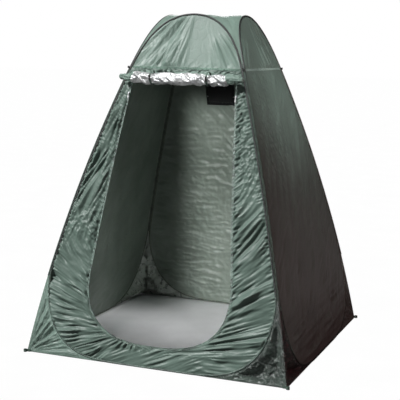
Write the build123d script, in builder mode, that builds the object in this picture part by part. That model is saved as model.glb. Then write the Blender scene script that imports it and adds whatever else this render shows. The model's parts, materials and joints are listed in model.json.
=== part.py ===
from build123d import *

import os
from math import hypot, pi, sqrt, tan

os.makedirs("parts", exist_ok=True)

# Pop-up privacy shower tent for one person, 1.5 m square at the ground and 1.9 m high.
#
# Four equal walls lean inwards and bow a little outwards. Each wall is a fabric sheet stretched in an
# egg-shaped hoop of spring wire, which runs in a fabric sleeve. Neighbouring hoops are sewn together
# along the corner from the gusset up to the shoulder. Below that, gussets fill the corners down to the
# ground, and above it the hoops arch over and carry the roof. The front wall has a zipped door, rolled
# up and tied over its opening, and the back wall a mesh window with a cover outside.
#
# Origin: on the ground, under the middle of the roof. +Z up, the door faces -Y, +X is to the right of
# somebody who looks at the door. Every wall is drawn as the front wall and turned about Z.

# ---------------------------------------------------------------- driving dimensions, millimetres

height = 1900.0  # ground to the top of the hoops
base_half = 760.0  # tent's axis to a wall, at the ground
top_half = 225.0  # tent's axis to a wall, at the top of its hoop
bow = 50.0  # how far a wall bows out from the straight line between those two

fabric = 1.0  # thickness of every plain sheet
wire_radius = 1.5  # spring steel wire
ferrule_radius = 3.2
ferrule_half = 20.0
sleeve_radius = 5.5
sleeve_bore = 4.3
wire_gap = 0.6  # between a wire's ends, inside its ferrule
sleeve_gap = 0.4  # between a sleeve's ends
sewn_gap = 0.5  # from a sleeve to the sheet sewn into it
seam_gap = 10.0  # from the corner to a hoop's centreline, along the wall

gusset_top = 420.0  # neighbouring hoops part below this height
shoulder = 1600.0  # and above this one
foot_half = 280.0  # half of the straight run that a hoop has on the ground
foot_bulge = 660.0  # control point of the rounded lower corner

tape_width = 12.0
tape_gap = 0.1  # from a tape to the sheet that it is sewn to
corner_tape_half = 7.0
shoulder_seam = 1594.0

door_top = 1560.0
door_half_top = 300.0
door_half_low = 412.0
door_spring = 450.0  # height where the door's sides turn into its rounded sill
door_sill = 118.0
door_bulge = 15.0  # control points of the rounded sill
door_flat = 130.0
zip_width = 12.0
zip_thickness = 2.2
slider_height = 1455.0  # top of a parked zip slider
slider_length = 14.0
slider_width = 9.0
slider_thickness = 3.0
slider_lift = 5.0  # from the wall's surface, because the slider runs straight down a bowed wall
bridge_height = 3.4
bridge_half = 2.6  # from the slider's middle to each cheek of its bridge
bridge_drop = 3.0  # from the slider's middle down to the bridge
pull_length = 26.0
pull_thickness = 1.4
pull_gap = 1.1  # from the slider's face to the pull

roll_radius = 37.0
roll_end_radius = 20.0
roll_half = 368.0
roll_waist = 272.0  # half length of the roll's full-width stretch
roll_height = 1524.0
roll_clearance = 16.0
roll_low_height = 420.0  # where the roll is when the door is fully unrolled
roll_low_clearance = 40.0
tie_place = 165.0  # from the middle of the roll to each tie
strap_width = 10.0
strap_gap = 0.6  # from the roll to a strap
toggle_radius = 5.0
toggle_half = 14.0

window_centre = 65.0  # to the left of the back wall's middle, seen from inside the tent
window_half = 95.0
window_low = 1355.0
window_high = 1550.0
window_border = 18.0
flap_overlap = 14.0
flap_lift = 2.6  # from the wall's surface to the window's cover
snap_rise = 55.0  # from the window's lower edge to its snaps
snap_radius = 4.5

webbing = 1.5
peg_hole_radius = 8.0
peg_hole_out = 8.0  # from the planes of both walls to the middle of the hole
peg_loop_height = 15.0
peg_tab_length = 24.0
guy_hole_radius = 4.0
guy_hole_out = 4.5

groundsheet_inset = 14.0
groundsheet_corner = 80.0

# ---------------------------------------------------------------- the wall's curved surface

chord = hypot(base_half - top_half, height)
arc_radius = chord**2 / (8 * bow) + bow / 2
arc_w = (base_half + top_half) / 2 - height / chord * (arc_radius - bow)
arc_z = height / 2 - (base_half - top_half) / chord * (arc_radius - bow)


def wall_half(z):
    """Distance from the tent's axis to a wall's middle surface at height z."""
    return arc_w + sqrt(arc_radius**2 - (z - arc_z) ** 2)


def off_wall(z, distance):
    """The point (out from the axis, up) that lies distance outside the wall's surface at height z."""
    share = 1 + distance / arc_radius
    return arc_w + (wall_half(z) - arc_w) * share, arc_z + (z - arc_z) * share


def bezier(a, b, c, t):
    """A point of the quadratic curve from a to c that leaves and arrives towards b."""
    return tuple(a[i] * (1 - t) ** 2 + 2 * b[i] * t * (1 - t) + c[i] * t**2 for i in (0, 1))


# ---------------------------------------------------------------- the hoop's outline, in (x, z)

hoop_low = sleeve_radius
hoop_high = height - sleeve_radius
shoulder_half = wall_half(shoulder) - seam_gap
side_lean = (wall_half(shoulder) - wall_half(shoulder - 1)) * (hoop_high - shoulder)
foot_curve = (
    (foot_half, hoop_low),
    (foot_bulge, hoop_low),
    (wall_half(gusset_top) - seam_gap, gusset_top),
)
arch_curve = ((shoulder_half, shoulder), (shoulder_half + side_lean, hoop_high), (0, hoop_high))
curve_steps = 5
roof_steps = 10
side_steps = 4


def hoop_side():
    """The hoop's corner points on one side, from the straight foot up to the top."""
    foot = [bezier(*foot_curve, i / curve_steps) for i in range(curve_steps + 1)]
    rises = [gusset_top + (shoulder - gusset_top) * i / side_steps for i in range(1, side_steps)]
    side = [(wall_half(z) - seam_gap, z) for z in rises]
    arch = [bezier(*arch_curve, i / curve_steps) for i in range(curve_steps + 1)]
    return foot + side + arch


def hoop_outline():
    """The whole hoop, from the right end of its foot, over the top, to the left end."""
    right = hoop_side()
    return right + [(-x, z) for x, z in reversed(right[:-1])]


def round_radii(points, closed=False):
    """The largest even radius at each corner of a route, 0.45 of the shorter run beside it."""
    found = []
    count = len(points)
    for i in range(count) if closed else range(1, count - 1):
        before = Vector(points[i]) - Vector(points[i - 1])
        after = Vector(points[(i + 1) % count]) - Vector(points[i])
        turn = before.get_angle(after) * pi / 180
        found.append(0.45 * min(before.length, after.length) / tan(turn / 2))
    return found


def hoop_route(gap):
    """The hoop in the front wall's surface, as points in space, open by gap in the middle of its foot."""
    outline = [(gap / 2, hoop_low), *hoop_outline(), (-gap / 2, hoop_low)]
    return [(x, -wall_half(z), z) for x, z in outline]


def hoop_region(offset_by):
    """The sketch inside the hoop's centreline, grown or shrunk by offset_by."""
    points = hoop_outline()
    with BuildSketch(Plane.XZ) as region:
        with BuildLine():
            FilletPolyline(*points, radius=round_radii(points, closed=True), close=True)
        make_face()
        offset(amount=offset_by)
    return region.sketch


def wall_sheet(inner, outer, region):
    """A curved sheet of the front wall, from inner to outer outside its surface, cut to a region."""
    with BuildPart() as sheet:
        with BuildSketch(Plane.YZ.offset(-base_half)):
            with Locations((-arc_w, arc_z)):
                Circle(arc_radius + outer)
                Circle(arc_radius + inner, mode=Mode.SUBTRACT)
            with Locations((-(base_half + top_half) / 2, height / 2)):
                Rectangle(base_half + 3 * bow, height + 2 * bow, mode=Mode.INTERSECT)
        extrude(amount=2 * base_half)
        extrude(region, amount=base_half + bow, dir=(0, -1, 0), mode=Mode.INTERSECT)
    return sheet.part


def strip(low, high):
    """A sketch of the whole wall's width between two heights."""
    with BuildSketch(Plane.XZ) as band:
        with Locations((0, (low + high) / 2)):
            Rectangle(2 * base_half, high - low)
    return band.sketch


def cut_away(sheet, region):
    """The sheet with a region of the front wall cut out of it."""
    with BuildPart() as rest:
        add(sheet)
        extrude(region, amount=base_half + bow, dir=(0, -1, 0), mode=Mode.SUBTRACT)
    return rest.part


# ---------------------------------------------------------------- writing

walls = {"front": 0, "right": 90, "back": 180, "left": 270}


def write(piece, name, turn=0):
    """Turns a piece drawn on the front wall to its own wall, and writes it."""
    placed = piece.rotate(Axis.Z, turn)
    placed.label = name
    export_step(placed, f"parts/{name}.step")
    print(name, "solids", len(placed.solids()), "volume", round(placed.volume))


# ---------------------------------------------------------------- hoops


def swept(route, outer, bore=0.0):
    """A tube along a route, and how far its volume is from its section times its length."""
    with BuildPart() as tube:
        with BuildLine() as line:
            FilletPolyline(*route, radius=round_radii(route))
        with BuildSketch(Plane(origin=line.wires()[0] @ 0, z_dir=line.wires()[0] % 0)):
            Circle(outer)
            if bore:
                Circle(bore, mode=Mode.SUBTRACT)
        sweep(path=line.wires()[0])
    due = pi * (outer**2 - bore**2) * line.wires()[0].length
    print("tube volume over its due volume", round(tube.part.volume / due, 5))
    return tube.part


def ferrule():
    """The crimped sleeve that joins the wire's two ends."""
    crimp_gap = 0.05
    with BuildPart() as tube:
        with BuildSketch(Plane.YZ.offset(-ferrule_half)):
            with Locations((-wall_half(hoop_low), hoop_low)):
                Circle(ferrule_radius)
                Circle(wire_radius + crimp_gap, mode=Mode.SUBTRACT)
        extrude(amount=2 * ferrule_half)
    return tube.part


def make_hoops():
    wire = swept(hoop_route(wire_gap), wire_radius)
    sleeve = swept(hoop_route(sleeve_gap), sleeve_radius, sleeve_bore)
    crimp = ferrule()
    for wall, turn in walls.items():
        write(wire, f"{wall}_hoop_wire", turn)
        write(crimp, f"{wall}_hoop_ferrule", turn)
        write(sleeve, f"{wall}_hoop_sleeve", turn)


# ---------------------------------------------------------------- sheets of the walls


def door_region(grow=0.0):
    """The door opening, grown by a margin on its sides and sill."""
    half_top, half_low, sill = door_half_top + grow, door_half_low + grow, door_sill - grow
    with BuildSketch(Plane.XZ) as opening:
        with BuildLine():
            Polyline(
                (-half_low, door_spring),
                (-half_top, door_top),
                (half_top, door_top),
                (half_low, door_spring),
            )
            for side in (1, -1):
                bulge, flat = side * (half_low + door_bulge), side * door_flat
                Bezier((side * half_low, door_spring), (bulge, sill), (flat, sill), (0, sill))
        make_face()
    return opening.sketch


def window_region(shrink=0.0):
    """The window's black patch, smaller by shrink all round."""
    with BuildSketch(Plane.XZ) as patch:
        with Locations((window_centre, (window_low + window_high) / 2)):
            Rectangle(2 * (window_half - shrink), window_high - window_low - 2 * shrink)
    return patch.sketch


def make_wall_sheets():
    full = wall_sheet(-fabric / 2, fabric / 2, hoop_region(-(sleeve_radius + sewn_gap)))
    half_gap = 0.2
    plain = cut_away(full, strip(shoulder_seam - half_gap, height + bow))
    door_wall = cut_away(plain, door_region(zip_width))
    window_wall = cut_away(plain, window_region(-sewn_gap / 2))
    cap = cut_away(full, strip(-bow, shoulder_seam + half_gap))
    sheets = {"front": door_wall, "right": plain, "back": window_wall, "left": plain}
    for wall, turn in walls.items():
        write(sheets[wall], f"{wall}_wall", turn)
        write(cap, f"{wall}_cap_panel", turn)


def make_shoulder_tapes():
    end_gap = 6.0
    with BuildSketch(Plane.XZ) as across:
        with Locations((0, shoulder_seam)):
            Rectangle(2 * (wall_half(shoulder_seam) - seam_gap - sleeve_radius - end_gap), tape_width)
    tape = wall_sheet(fabric / 2 + tape_gap, 1.5 * fabric + tape_gap, across.sketch)
    for wall, turn in walls.items():
        write(tape, f"{wall}_shoulder_tape", turn)


# ---------------------------------------------------------------- corners


def gusset_half():
    """The right-hand gusset of the front wall, between the hoop, the corner and the ground."""
    edge_gap = 1.2
    top = gusset_top - 5.0
    foot_clearance = 80.0
    with BuildSketch(Plane.XZ) as region:
        with Locations((base_half / 2, top / 2)):
            Rectangle(base_half, top)
        with Locations((arc_w - edge_gap, arc_z)):
            Circle(arc_radius, mode=Mode.INTERSECT)
        add(hoop_region(sleeve_radius + sewn_gap), mode=Mode.SUBTRACT)
        with Locations((0, hoop_low)):
            Rectangle(2 * (foot_half + foot_clearance), 4 * sleeve_radius, mode=Mode.SUBTRACT)
    return wall_sheet(-fabric / 2, fabric / 2, region.sketch)


def make_gussets():
    right_half = gusset_half()
    left_half = right_half.mirror(Plane.YZ)
    neighbours = {"front": ("left", "right"), "right": ("front", "back")}
    neighbours |= {"back": ("right", "left"), "left": ("back", "front")}
    for wall, turn in walls.items():
        towards_left, towards_right = neighbours[wall]
        write(left_half, f"{wall}_gusset_{towards_left}", turn)
        write(right_half, f"{wall}_gusset_{towards_right}", turn)


def diagonal_plane(turn=0):
    """The upright plane through the front right corner, or through the next one for each 90 degrees."""
    return Plane(origin=(0, 0, 0), x_dir=(1, -1, 0), z_dir=(-1, -1, 0)).rotated((0, 0, turn))


def corner_out(z, lift):
    """A point of the diagonal plane, lift outside the corner at height z."""
    return sqrt(2) * wall_half(z) + lift, z


def make_corner_tapes():
    low, high = gusset_top + 8.0, shoulder - 14.0
    middle = (low + high) / 2
    inner, outer = -fabric, 0.0
    with BuildPart() as tape:
        with BuildSketch(diagonal_plane()):
            with BuildLine():
                ThreePointArc(*[corner_out(z, inner) for z in (low, middle, high)])
                Line(corner_out(high, inner), corner_out(high, outer))
                ThreePointArc(*[corner_out(z, outer) for z in (high, middle, low)])
                Line(corner_out(low, outer), corner_out(low, inner))
            make_face()
        extrude(amount=corner_tape_half, both=True)
    corners = {"front_right": 0, "back_right": 90, "back_left": 180, "front_left": 270}
    for corner, turn in corners.items():
        write(tape.part, f"{corner}_corner_tape", turn)


def peg_loop():
    """A webbing loop that stands at the front right corner, sewn to the front of the gusset."""
    ring_at = base_half + peg_hole_out
    tab_x, tab_y = base_half - 10.0, -(base_half + 2.2)
    with BuildPart() as loop:
        with BuildSketch(Plane.XY):
            with Locations((ring_at, -ring_at)):
                Circle(peg_hole_radius + webbing)
            with Locations((tab_x, tab_y)):
                Rectangle(peg_tab_length, webbing)
            with Locations((ring_at, -ring_at)):
                Circle(peg_hole_radius, mode=Mode.SUBTRACT)
        extrude(amount=peg_loop_height)
    return loop.part


def guy_loop():
    """A small webbing ring at the front right shoulder, for a guy line."""
    at = wall_half(shoulder_seam) + guy_hole_out
    with BuildPart() as loop:
        with BuildSketch(Plane.XY.offset(shoulder_seam - tape_width / 2)):
            with Locations((at, -at)):
                Circle(guy_hole_radius + webbing)
                Circle(guy_hole_radius, mode=Mode.SUBTRACT)
        extrude(amount=tape_width)
    return loop.part


def make_loops():
    for kind, right_loop in (("peg", peg_loop()), ("guy", guy_loop())):
        for wall in ("front", "back"):
            with BuildPart() as pair:
                add(right_loop)
                add(right_loop.mirror(Plane.YZ))
            write(pair.part, f"{wall}_{kind}_loops", walls[wall])


# ---------------------------------------------------------------- roof and floor


def roof_block(inset):
    """The solid under the four gores, its surface moved in by inset, down to below the shoulder."""
    side = [bezier(*arch_curve, i / roof_steps) for i in range(roof_steps + 1)]
    edge = [((x + wall_half(z)) / sqrt(2) - inset, z - inset) for x, z in side]
    out, low = edge[0]
    with BuildPart() as block:
        for turn in (0, 90):
            with BuildSketch(diagonal_plane(turn)):
                with BuildLine():
                    Polyline(*edge, *[(-s, z) for s, z in reversed(edge)])
                    Polyline((-out, low), (-out, low - bow - inset), (out, low - bow - inset), (out, low))
                make_face()
            extrude(amount=base_half, both=True, mode=Mode.INTERSECT if turn else Mode.ADD)
    return block.part


def make_roof():
    with BuildPart() as roof:
        add(roof_block(0.0))
        add(roof_block(fabric), mode=Mode.SUBTRACT)
        split(bisect_by=Plane.XY.offset(shoulder), keep=Keep.TOP)
        for plane in (Plane.YZ, Plane.XZ):
            with BuildSketch(plane):
                for side_of in (1, -1):
                    with Locations((side_of * (arc_w - sleeve_radius - sewn_gap), arc_z)):
                        Circle(arc_radius, mode=Mode.ADD if side_of == 1 else Mode.INTERSECT)
            extrude(amount=base_half, both=True, mode=Mode.INTERSECT)
    write(roof.part, "roof_canopy")


def make_groundsheet():
    side = 2 * (base_half - groundsheet_inset)
    with BuildPart() as sheet:
        with BuildSketch(Plane.XY):
            RectangleRounded(side, side, groundsheet_corner)
        extrude(amount=fabric)
    write(sheet.part, "groundsheet")


# ---------------------------------------------------------------- door

roll_out, roll_up = off_wall(roll_height, roll_clearance + roll_radius)
roll_low_out, roll_low_up = off_wall(roll_low_height, roll_low_clearance + roll_radius)


def make_zip_tape():
    """The zip's half on the wall, round the door's sides and sill, a little thicker than the wall."""
    whole = wall_sheet(-zip_thickness / 2, zip_thickness / 2, door_region(zip_width - sewn_gap / 2))
    write(cut_away(whole, door_region()), "door_zip_tape")


def make_door_roll():
    """The rolled door, full in the middle and drawn in at both ends."""
    with BuildPart() as roll:
        with BuildSketch(Plane.XY.offset(roll_up)):
            with BuildLine():
                Polyline(
                    (-roll_half, -roll_out),
                    (-roll_half, roll_end_radius - roll_out),
                    (-roll_waist, roll_radius - roll_out),
                    (roll_waist, roll_radius - roll_out),
                    (roll_half, roll_end_radius - roll_out),
                    (roll_half, -roll_out),
                    close=True,
                )
            make_face()
        revolve(axis=Axis((0, -roll_out, roll_up), (1, 0, 0)))
    write(roll.part, "door_roll")


def make_door_sheet():
    """The short length of door between the seam over the opening and the roll."""
    over_roll = 3.5
    seam_out, seam_up = off_wall(shoulder_seam - tape_width, fabric)
    roll_top = roll_up + roll_radius + over_roll
    with BuildPart() as sheet:
        with BuildSketch(Plane.YZ):
            with BuildLine():
                Polyline(
                    (-seam_out, seam_up),
                    (-roll_out, roll_top + fabric),
                    (-roll_out, roll_top),
                    (-seam_out, seam_up - fabric),
                    close=True,
                )
            make_face()
        extrude(amount=roll_waist, both=True)
    write(sheet.part, "door_sheet")


def make_door_ties():
    """Two straps that hang from the shoulder seam and hold the roll, each closed by a toggle."""
    with BuildPart() as straps:
        for x in (-tie_place, tie_place):
            with BuildSketch(Plane.YZ.offset(x - strap_width / 2)):
                with Locations((-roll_out, roll_up)):
                    Circle(roll_radius + strap_gap + webbing)
                    Circle(roll_radius + strap_gap, mode=Mode.SUBTRACT)
            extrude(amount=strap_width)
    write(straps.part, "door_tie_straps")
    toggle_gap = 0.4
    toggle_rounding = 2.0
    toggle_out = roll_out + roll_radius + strap_gap + webbing + toggle_gap + toggle_radius
    with BuildPart() as toggles:
        for x in (-tie_place, tie_place):
            with BuildSketch(Plane.XY.offset(roll_up - toggle_half)):
                with Locations((x, -toggle_out)):
                    Circle(toggle_radius)
            extrude(amount=2 * toggle_half)
        fillet(toggles.edges().filter_by(GeomType.CIRCLE), toggle_rounding)
    write(toggles.part, "door_tie_toggles")


def on_wall_plane(x, z, lift):
    """A plane on the front wall at (x, z), its y up the wall and its z out of it."""
    out, up = off_wall(z, lift)
    below, above = off_wall(z - 1, lift), off_wall(z + 1, lift)
    rise = Vector(0, -(above[0] - below[0]), above[1] - below[1]).normalized()
    return Plane(origin=(x, -out, up), x_dir=(1, 0, 0), z_dir=Vector(1, 0, 0).cross(rise))


def door_side(z):
    """Half width of the door opening at height z, above its rounded sill."""
    share = (door_top - z) / (door_top - door_spring)
    return door_half_top + (door_half_low - door_half_top) * share


def make_zip_sliders():
    """A slider with a bridge, and a pull tab that hangs from a pin in the bridge, on each side."""
    z = slider_height - slider_length / 2
    x = door_side(z) + zip_width / 2
    ground = on_wall_plane(x, z, slider_lift)
    cheek_width, cheek_length = 1.6, 5.0
    stem_width, stem_overlap = 3.0, 2.0
    grip_width, grip_length = 6.0, 12.0
    with BuildPart() as slider:
        with BuildSketch(ground):
            RectangleRounded(slider_width, slider_length, radius=2.5)
        extrude(amount=slider_thickness)
        with BuildSketch(ground.offset(slider_thickness)):
            with Locations((-bridge_half, -bridge_drop), (bridge_half, -bridge_drop)):
                Rectangle(cheek_width, cheek_length)
        extrude(amount=bridge_height)
    with BuildPart() as pull:
        with BuildSketch(ground.offset(slider_thickness + pull_gap)):
            with Locations((0, -bridge_drop - pull_length / 2)):
                RectangleRounded(stem_width, pull_length + stem_overlap, radius=1.2)
            with Locations((0, -bridge_drop - pull_length + grip_length / 2)):
                RectangleRounded(grip_width, grip_length, radius=2.0)
        extrude(amount=pull_thickness)
    for side in ("right", "left"):
        mirrored = side == "left"
        write(slider.part.mirror(Plane.YZ) if mirrored else slider.part, f"door_zip_slider_{side}")
        write(pull.part.mirror(Plane.YZ) if mirrored else pull.part, f"door_zip_pull_{side}")


# ---------------------------------------------------------------- window in the back wall


def snap_pair(radius, lift, thickness):
    """Two round snap halves on the window's side borders, lift outside the wall's surface."""
    with BuildPart() as pair:
        for side_of in (-1, 1):
            x = window_centre + side_of * (window_half - window_border / 2)
            with BuildSketch(on_wall_plane(x, window_low + snap_rise, lift)):
                Circle(radius)
            extrude(amount=thickness)
    return pair.part


def make_window():
    turn = walls["back"]
    patch = wall_sheet(-fabric, fabric / 2, window_region())
    write(cut_away(patch, window_region(window_border)), "window_binding", turn)
    mesh = wall_sheet(-fabric / 4, fabric / 4, window_region(window_border + sewn_gap / 2))
    write(mesh, "window_mesh", turn)
    write(wall_sheet(flap_lift, flap_lift + fabric, window_region(-flap_overlap)), "window_flap", turn)
    stud_thickness, cap_thickness, cap_rim = 1.8, 1.6, 1.5
    snap_gap = 0.2
    studs = snap_pair(snap_radius, -fabric - stud_thickness - snap_gap, stud_thickness)
    write(studs, "window_snap_studs", turn)
    caps = snap_pair(snap_radius + cap_rim, flap_lift + fabric + snap_gap, cap_thickness)
    write(caps, "window_flap_snaps", turn)


make_hoops()
make_wall_sheets()
make_shoulder_tapes()
make_gussets()
make_corner_tapes()
make_loops()
make_roof()
make_groundsheet()
make_zip_tape()
make_door_roll()
make_door_sheet()
make_door_ties()
make_zip_sliders()
make_window()
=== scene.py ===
import json
from math import cos, hypot, pi, radians, sin, sqrt

import bmesh
import bpy
import numpy as np
from mathutils import Matrix, Vector
from mathutils.geometry import delaunay_2d_cdt

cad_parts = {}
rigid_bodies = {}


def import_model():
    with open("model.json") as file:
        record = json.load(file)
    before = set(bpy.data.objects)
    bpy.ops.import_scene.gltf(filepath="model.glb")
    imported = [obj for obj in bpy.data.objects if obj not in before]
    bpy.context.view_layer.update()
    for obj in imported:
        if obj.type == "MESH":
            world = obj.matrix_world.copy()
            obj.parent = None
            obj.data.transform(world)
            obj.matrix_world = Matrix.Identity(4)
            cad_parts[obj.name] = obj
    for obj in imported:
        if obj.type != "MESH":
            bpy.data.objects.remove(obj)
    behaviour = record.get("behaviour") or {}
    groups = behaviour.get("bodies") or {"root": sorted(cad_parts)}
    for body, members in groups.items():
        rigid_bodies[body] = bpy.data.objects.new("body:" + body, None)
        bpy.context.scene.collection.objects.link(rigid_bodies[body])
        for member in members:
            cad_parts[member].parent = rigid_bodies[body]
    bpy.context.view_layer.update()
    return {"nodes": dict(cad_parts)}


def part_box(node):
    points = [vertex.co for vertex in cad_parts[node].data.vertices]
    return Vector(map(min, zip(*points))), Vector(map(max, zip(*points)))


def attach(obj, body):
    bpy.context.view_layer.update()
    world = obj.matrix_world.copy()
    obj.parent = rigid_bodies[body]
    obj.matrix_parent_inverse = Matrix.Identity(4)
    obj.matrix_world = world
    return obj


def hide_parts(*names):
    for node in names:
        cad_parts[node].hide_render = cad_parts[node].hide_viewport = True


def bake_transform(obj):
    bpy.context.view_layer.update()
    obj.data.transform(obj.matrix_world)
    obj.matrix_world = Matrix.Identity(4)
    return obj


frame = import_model()
scene = bpy.context.scene

# ---------------- driving dimensions, metres

HEIGHT = 1.9
BASE = 0.76
TOP = 0.225
BOW = 0.05
SEAM_GAP = 0.01
SLEEVE = 0.0055
HOOP_TOP = HEIGHT - SLEEVE
GUSSET_TOP = 0.42
SHOULDER = 1.6
SEAM = 1.594
FOOT_HALF = 0.28
FOOT_BULGE = 0.66
DOOR_TOP, DOOR_HALF_TOP, DOOR_HALF_LOW, DOOR_SPRING, DOOR_SILL = 1.56, 0.3, 0.412, 0.45, 0.118
DOOR_BULGE, DOOR_FLAT = 0.015, 0.13
ZIP = 0.012
WINDOW_X, WINDOW_HALF, WINDOW_LOW, WINDOW_HIGH = 0.065, 0.095, 1.355, 1.55
WINDOW_OVERLAP = 0.004
COVER_MARGIN = 0.014
FABRIC = 0.0009
LEAST_AREA = 0.301  # the least area a sheet is given, as a share of its width times its length

CHORD = hypot(BASE - TOP, HEIGHT)
RADIUS = CHORD**2 / (8 * BOW) + BOW / 2
ARC_W = (BASE + TOP) / 2 - HEIGHT / CHORD * (RADIUS - BOW)
ARC_Z = HEIGHT / 2 - (BASE - TOP) / CHORD * (RADIUS - BOW)

TURNS = {"front": 0, "right": 90, "back": 180, "left": 270}


def wall_half(z):
    """Distance from the tent's axis to a wall's surface at height z."""
    return ARC_W + np.sqrt(RADIUS**2 - (np.asarray(z, float) - ARC_Z) ** 2)


def on_wall(x, z, lift):
    """Points on the front wall's surface, moved lift outwards, as an (n, 3) array."""
    x, z, lift = np.broadcast_arrays(np.asarray(x, float), z, lift)
    share = 1 + lift / RADIUS
    out = ARC_W + (wall_half(z) - ARC_W) * share
    return np.stack([x, -out, ARC_Z + (z - ARC_Z) * share], axis=-1)


def turned(points, wall):
    """Points of the front wall turned to another wall."""
    angle = radians(TURNS[wall])
    spin = np.array([[cos(angle), -sin(angle), 0], [sin(angle), cos(angle), 0], [0, 0, 1]])
    return points @ spin.T


# ---------------- noise and fold fields

CELLS = 512  # the noise repeats after so many cells
rng = np.random.default_rng(7)
LATTICE = rng.permutation(CELLS)
ANGLES = rng.uniform(0, 2 * pi, CELLS)


def smooth(t):
    t = np.clip(t, 0, 1)
    return t * t * (3 - 2 * t)


def noise(u, v, seed):
    """Gradient noise in two dimensions, about -0.7 to 0.7."""
    u, v = np.broadcast_arrays(np.asarray(u, float), np.asarray(v, float))
    iu, iv = np.floor(u).astype(int), np.floor(v).astype(int)
    fu, fv = u - iu, v - iv
    ease_u, ease_v = fu**3 * (fu * (fu * 6 - 15) + 10), fv**3 * (fv * (fv * 6 - 15) + 10)

    def corner(du, dv):
        angle = ANGLES[(LATTICE[(iu + du + seed * 57) % CELLS] + iv + dv) % CELLS]
        return np.cos(angle) * (fu - du) + np.sin(angle) * (fv - dv)

    low = corner(0, 0) * (1 - ease_u) + corner(1, 0) * ease_u
    high = corner(0, 1) * (1 - ease_u) + corner(1, 1) * ease_u
    return low * (1 - ease_v) + high * ease_v


def ridged(u, v, seed, octaves=3):
    """Noise with sharp crests and round valleys, as in crumpled cloth, about -0.5 to 0.5."""
    total, share = 0.0, 1.0
    for k in range(octaves):
        total = total + share * (0.5 - np.abs(noise(u * 2**k, v * 2**k, seed + k)) * 2)
        share *= 0.5
    return total / (2 - share * 2)


def rounded(u, v, seed):
    """Parallel folds with round backs and sharp creases: u runs across them and v along them."""
    wave = noise(u, v, seed) + 0.4 * noise(u * 2.1 + 3.7, v * 1.7, seed + 11)
    crease = 0.28 - np.abs(noise(u * 1.3 + 5.1, v * 1.2, seed + 5))
    return 0.75 * wave + 0.8 * crease


def across_along(x, z, angle, at=(0.0, 0.0)):
    """Coordinates across and along a direction that rises by angle degrees from +x."""
    a = radians(angle)
    dx, dz = x - at[0], z - at[1]
    return -dx * sin(a) + dz * cos(a), dx * cos(a) + dz * sin(a)


def patches(x, z, size, share, seed):
    """A factor between 1 - share and 1 that changes from place to place."""
    return 1 - share + share * smooth(0.5 + 1.6 * noise(x / size, z / size, seed))


def folds(x, z, angle, spacing, length, height, seed, at=(0.0, 0.0), patchy=0.6):
    """Parallel folds that rise by angle degrees, about one every two spacings, patchy in depth."""
    u, v = across_along(x, z, angle, at)
    sway = 0.35 * noise(u / (4 * spacing), v / (0.6 * length), seed + 71)
    depth = patches(x, z, 0.17, patchy, seed + 60)
    return height * depth * rounded(u / spacing + sway, v / length, seed)


def from_centre(x, z, centre):
    """Distance from a centre, and direction from it in degrees."""
    dx, dz = x - centre[0], z - centre[1]
    return np.hypot(dx, dz), np.degrees(np.arctan2(dz, dx))


def fan(x, z, centre, spread, reach, height, seed):
    """Folds that radiate from a centre, about one every two spreads in degrees, and fade past reach."""
    r, angle = from_centre(x, z, centre)
    rise = smooth(r / (0.25 * reach)) * (1 - smooth((r - 0.55 * reach) / (0.6 * reach)))
    return height * rise * rounded(angle / spread, r / (0.8 * reach), seed)


def spokes(x, z, centre, spread, length, height, seed, patchy=0.5):
    """Tension folds that all point at a centre, about one every two spreads in degrees."""
    r, angle = from_centre(x, z, centre)
    angle = np.where(angle < -90, angle + 360, angle)
    sway = 0.3 * noise(r / 0.1, angle / 20, seed + 3)
    depth = patches(x, z, 0.15, patchy, seed + 60)
    return height * depth * rounded(angle / spread + sway, r / length, seed)


def crumple(x, z, size, height, seed):
    """Small random creases."""
    bend = 0.35 * size
    u = x + bend * noise(x / size, z / size, seed + 31)
    v = z + bend * noise(x / size, z / size, seed + 41)
    return height * ridged(u / size, v / size, seed)


def band(value, low, high, soft):
    """1 between low and high, fading over soft at each side."""
    return smooth((value - low) / soft + 0.5) * smooth((high - value) / soft + 0.5)


# ---------------- outlines in a wall's (x, z)

CURVE_STEPS = 24


def bezier(points, t):
    """Points of a Bezier curve of three or four control points, t running from 0 to 1."""
    t = np.asarray(t)[..., None]
    p = np.array(points, float)
    if len(p) == 3:
        return p[0] * (1 - t) ** 2 + 2 * p[1] * t * (1 - t) + p[2] * t**2
    return p[0] * (1 - t) ** 3 + 3 * p[1] * t * (1 - t) ** 2 + 3 * p[2] * t**2 * (1 - t) + p[3] * t**3


def curve(points):
    """Samples of a Bezier curve, without its last point."""
    return bezier(points, np.arange(CURVE_STEPS) / CURVE_STEPS)


def arch_points():
    """The control points of a hoop's arch on the right, from the shoulder to the top."""
    shoulder = wall_half(SHOULDER) - SEAM_GAP
    lean = (wall_half(SHOULDER) - wall_half(SHOULDER - 0.001)) / 0.001 * (HOOP_TOP - SHOULDER)
    return [(shoulder, SHOULDER), (shoulder + lean, HOOP_TOP), (0, HOOP_TOP)]


def hoop_side():
    """The hoop on the right, from the end of its foot to its top."""
    knee = (wall_half(GUSSET_TOP) - SEAM_GAP, GUSSET_TOP)
    foot = curve([(FOOT_HALF, SLEEVE), (FOOT_BULGE, SLEEVE), knee])
    rise = np.linspace(GUSSET_TOP, SHOULDER, CURVE_STEPS, endpoint=False)
    side = np.stack([wall_half(rise) - SEAM_GAP, rise], axis=1)
    return np.concatenate([foot, side, curve(arch_points()), [(0, HOOP_TOP)]])


def mirrored(side):
    """A closed outline from its right side, given from the bottom to the top."""
    left = side[::-1] * (-1, 1)
    left = left[1:] if abs(side[-1][0]) < 1e-6 else left
    left = left[:-1] if abs(side[0][0]) < 1e-6 else left
    return np.concatenate([side, left])


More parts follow.
